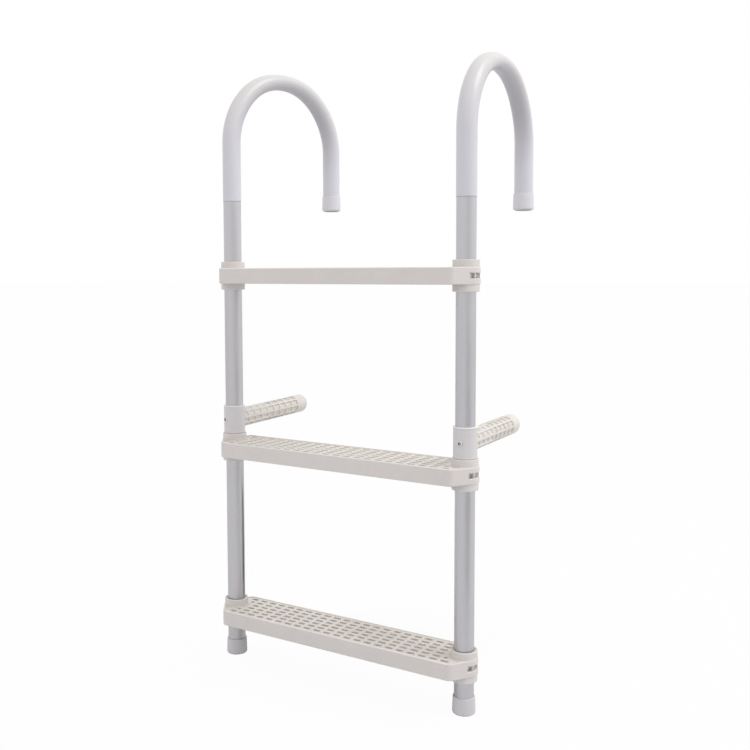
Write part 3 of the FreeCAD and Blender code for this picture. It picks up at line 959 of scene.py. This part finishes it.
def standoff_arm(side, socket_centre, socket_radius):
    """The arm: a tapered rod with channels between ribs and pockets between low bars in them."""
    name = side + "_standoff_grip"
    middle = (0, 0, (arm_start + arm_reach) / 2)
    arm = add_cylinder(name, middle, arm_root_radius, arm_reach - arm_start, arm_sides)
    pick_faces(arm, facing_up)
    shrink = arm_tip_radius / arm_root_radius
    bpy.ops.transform.resize(value=(shrink, shrink, 1), center_override=(0, 0, arm_reach))
    bpy.ops.mesh.bevel(offset=arm_round, segments=10, affect="EDGES")
    pockets = []
    far_end = arm_reach - arm_end_band
    while far_end > arm_start:
        near_end = far_end - pocket_length
        pockets.append((near_end, far_end))
        for cut in (near_end, far_end):
            if cut > arm_start:
                bpy.ops.mesh.select_all(action="SELECT")
                bpy.ops.mesh.bisect(plane_co=(0, 0, cut), plane_no=(0, 0, 1))
        far_end -= pocket_pitch
    done_editing()

    def in_channel(place, normal):
        if abs(normal.z) > 0.5 or not arm_start < place.z < arm_reach - arm_end_band:
            return False
        pitch = 2 * math.pi / pocket_rows
        off = (math.atan2(place.x, -place.y) - pocket_turn + pitch / 2) % pitch - pitch / 2
        return abs(off) < pocket_half_angle

    def in_pocket(place, normal):
        if math.hypot(place.x, place.y) > arm_tip_radius - channel_depth / 4:
            return False
        margin = 2 * channel_slope
        within = any(near + margin < place.z < far - margin for near, far in pockets)
        return within and in_channel(place, normal)

    pick_faces(arm, in_channel)
    bpy.ops.mesh.inset(thickness=channel_slope, depth=-channel_depth)
    done_editing()
    pick_faces(arm, in_pocket)
    bpy.ops.mesh.inset(thickness=pocket_slope, depth=channel_depth - pocket_depth)
    done_editing()
    arm.rotation_euler = (arm_rise[side] - math.pi / 2, 0, standoff_turn[side])
    arm.location = socket_centre
    fix_place(arm)
    seat_radius = socket_radius - 2 * lip_depth
    seat = add_cylinder("arm seat", socket_centre, seat_radius, 4 * arm_root_radius)
    combine(arm, seat, "DIFFERENCE", "MANIFOLD")
    return arm


screw_turn = {"left": math.radians(-14.0), "right": math.radians(-1.5)}
screw_radius = 0.0033
screw_proud = 0.0013
screw_edge = 0.0005
screw_foot = sleeve_bore + 0.0004
screw_sides = 48
recess_radius = 0.002 / math.cos(math.radians(30))
screw_recess_depth = 0.0024
screw_finish = bare_steel("bright screw steel", colour=(0.90, 0.90, 0.94), roughness=0.16)
# The screw's recess is painted near black: painted shade in the hollow, with some grime.
recess_shade_and_grime_finish = bare_steel("screw recess with painted shade and grime", colour=(0.012, 0.012, 0.014), roughness=0.5)


def standoff_screw(side, socket_centre, socket_radius):
    """The screw's head: a short cylinder with a rounded edge and a six-sided recess."""
    name = side + "_socket_screw"
    top = socket_radius + screw_proud
    middle = (0, 0, (top + screw_foot) / 2)
    head = add_cylinder(name, middle, screw_radius, top - screw_foot, screw_sides)
    round_off(head, facing_up, screw_edge, 4)
    recess = add_cylinder("recess", (0, 0, top), recess_radius, 2 * screw_recess_depth, 6)
    combine(head, recess, "DIFFERENCE")

    def in_recess(place):
        return math.hypot(place.x, place.y) < recess_radius - hair and place.z < top - hair

    paint(head, screw_finish, (recess_shade_and_grime_finish, in_recess))
    head.rotation_euler = (math.pi / 2, 0, standoff_turn[side] + screw_turn[side])
    head.location = socket_centre
    fix_place(head)
    return head


socket_finish = moulded_plastic(
    "lilac white socket plastic",
    colour=(0.69, 0.665, 0.68),
    shade=(0.66, 0.635, 0.65),
    roughness=0.42,
    grain_depth=0.00003,
)
# The top lip of the sleeve is painted lighter: a painted highlight.
highlight_lip_finish = moulded_plastic(
    "lip plastic with painted highlight",
    colour=(0.86, 0.84, 0.86),
    shade=(0.83, 0.81, 0.83),
    roughness=0.25,
    grain_depth=0.00002,
)
arm_finish = moulded_plastic(
    "cream arm plastic",
    colour=(0.74, 0.70, 0.66),
    shade=(0.71, 0.67, 0.63),
    roughness=0.42,
    grain_depth=0.00003,
)
for side in ("left", "right"):
    body_name = side + "_standoff"
    sleeve, socket_centre, socket_radius = standoff_sleeve(side)
    smooth(sleeve)
    lip_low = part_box(side + "_standoff_socket")[1].z - lip_round
    # The faces at the top lip get the painted highlight.
    paint(sleeve, socket_finish, (highlight_lip_finish, lambda place: place.z > lip_low))
    stand_in(sleeve, body_name, side + "_standoff_socket")
    arm = standoff_arm(side, socket_centre, socket_radius)
    smooth(arm)
    paint(arm, arm_finish)
    stand_in(arm, body_name, side + "_standoff_arm")
    screw = standoff_screw(side, socket_centre, socket_radius)
    smooth(screw)
    stand_in(screw, body_name, side + "_standoff_screw")

# Studio. A pale floor that runs out of sight, a white surround that is a little darker in
# front, and one broad soft lamp above and to the right. A dark card behind the ladder and a
# light grey one in front of it stand out of sight, to give the tubes their darker edges.
floor_height = cad_box[0].z
floor_size = 80
floor_grey = 0.72
floor_whitening = 0.96
mean_light = 1.01
backlight = 0.10
toplight = -0.04
backlight_from = Vector((0.85, 0.53, 0))
dark_front = Vector((0.79, -0.61, 0))
front_dip = 0.3
dip_narrowness = 4.0
seen_white = 1.0
alone()
bpy.ops.mesh.primitive_plane_add(size=floor_size, location=(0, 0, floor_height))
floor = bpy.context.object
floor.name = "studio_floor"
floor_paint, floor_tree, floor_shader = new_material("studio floor")
floor_shader.inputs["Base Color"].default_value = (floor_grey, floor_grey, floor_grey, 1)
floor_shader.inputs["Roughness"].default_value = 0.9
floor_sight = floor_tree.nodes.new("ShaderNodeLightPath")
floor_white = floor_tree.nodes.new("ShaderNodeEmission")
floor_white.inputs["Color"].default_value = (1.0, 1.0, 1.0, 1)
seen = floor_sight.outputs["Is Camera Ray"]
whitening = math_node(floor_tree, "MULTIPLY", seen, floor_whitening)
floor_mix = floor_tree.nodes.new("ShaderNodeMixShader")
floor_output = floor_tree.nodes["Material Output"]
floor_tree.links.new(whitening, floor_mix.inputs["Fac"])
floor_tree.links.new(floor_shader.outputs["BSDF"], floor_mix.inputs[1])
floor_tree.links.new(floor_white.outputs["Emission"], floor_mix.inputs[2])
floor_tree.links.new(floor_mix.outputs["Shader"], floor_output.inputs["Surface"])
floor.data.materials.append(floor_paint)

world = bpy.data.worlds.new("studio")
bpy.context.scene.world = world
world.use_nodes = True
sky = world.node_tree
direction = sky.nodes.new("ShaderNodeTexCoord")
lean_to = sky.nodes.new("ShaderNodeVectorMath")
lean_to.operation = "DOT_PRODUCT"
lean_to.inputs[1].default_value = backlight_from * backlight + Vector((0, 0, toplight))
sky.links.new(direction.outputs["Generated"], lean_to.inputs[0])
facing_front = sky.nodes.new("ShaderNodeVectorMath")
facing_front.operation = "DOT_PRODUCT"
facing_front.inputs[1].default_value = dark_front
sky.links.new(direction.outputs["Generated"], facing_front.inputs[0])
in_front = math_node(sky, "MAXIMUM", facing_front.outputs["Value"], 0.0)
narrowed = math_node(sky, "POWER", in_front, dip_narrowness)
dip = math_node(sky, "MULTIPLY", narrowed, front_dip)
lit = math_node(sky, "SUBTRACT", math_node(sky, "ADD", lean_to.outputs["Value"], 1.0), dip)
light_there = math_node(sky, "MULTIPLY", lit, mean_light)
sight = sky.nodes.new("ShaderNodeLightPath")
strength = sky.nodes.new("ShaderNodeMix")
sky.links.new(sight.outputs["Is Camera Ray"], strength.inputs["Factor"])
sky.links.new(light_there, strength.inputs["A"])
strength.inputs["B"].default_value = seen_white
background = sky.nodes["Background"]
background.inputs["Color"].default_value = (1.0, 1.0, 1.0, 1)
sky.links.new(strength.outputs["Result"], background.inputs["Strength"])
bpy.context.scene.view_settings.view_transform = "Standard"

lamp_size = 1.5
lamp_power = 30
lamp_place = Vector((1.9, 0.3, 2.1))
lamp_aim = Vector((0, -0.1, -0.5))
lamp_data = bpy.data.lights.new("soft lamp", "AREA")
lamp_data.shape = "RECTANGLE"
lamp_data.size = lamp_size
lamp_data.size_y = lamp_size
lamp_data.energy = lamp_power
lamp = bpy.data.objects.new("soft lamp", lamp_data)
bpy.context.scene.collection.objects.link(lamp)
lamp.location = lamp_place
lamp.visible_camera = False
lamp.rotation_euler = (lamp_aim - lamp_place).to_track_quat("-Z", "Y").to_euler()


def standing_card(name, grey, place, width, height, turn=0):
    """A card that stands on the floor, seen in the tubes and not by the camera."""
    alone()
    bpy.ops.mesh.primitive_plane_add(
        size=1,
        location=(place.x, place.y, floor_height + height / 2),
        rotation=(math.pi / 2, 0, turn),
    )
    card = bpy.context.object
    card.name = name
    card.scale = (width, height, 1)
    card.visible_camera = False
    card_paint, tree, shader = new_material(name)
    shader.inputs["Base Color"].default_value = (grey, grey, grey, 1)
    shader.inputs["Roughness"].default_value = 1.0
    card.data.materials.append(card_paint)


standing_card(
    "studio_back_card", grey=0.03, place=Vector((0.0, 0.12)), width=0.25, height=0.19
)
standing_card(
    "studio_front_card",
    grey=0.7,
    place=Vector((0.72, -0.40)),
    width=0.7,
    height=0.42,
    turn=math.radians(60),
)

# Camera, where the photograph was taken from.
camera_tilt = math.radians(90 - 3.9326)
camera_heading = math.radians(32.2068)
camera_roll = math.radians(-0.2083)
camera_data = bpy.data.cameras.new("camera")
camera = bpy.data.objects.new("camera", camera_data)
bpy.context.scene.collection.objects.link(camera)
bpy.context.scene.camera = camera
camera.location = (0.67558, -1.16980, -0.25810)
heading = Euler((camera_tilt, 0, camera_heading), "XYZ").to_matrix()
lean = Euler((0, 0, camera_roll), "XYZ").to_matrix()
camera.rotation_mode = "QUATERNION"
camera.rotation_quaternion = (heading @ lean).to_quaternion()
camera_data.sensor_width = 36
camera_data.lens = 45.174
camera_data.shift_x = 0.04526
camera_data.shift_y = -0.05253
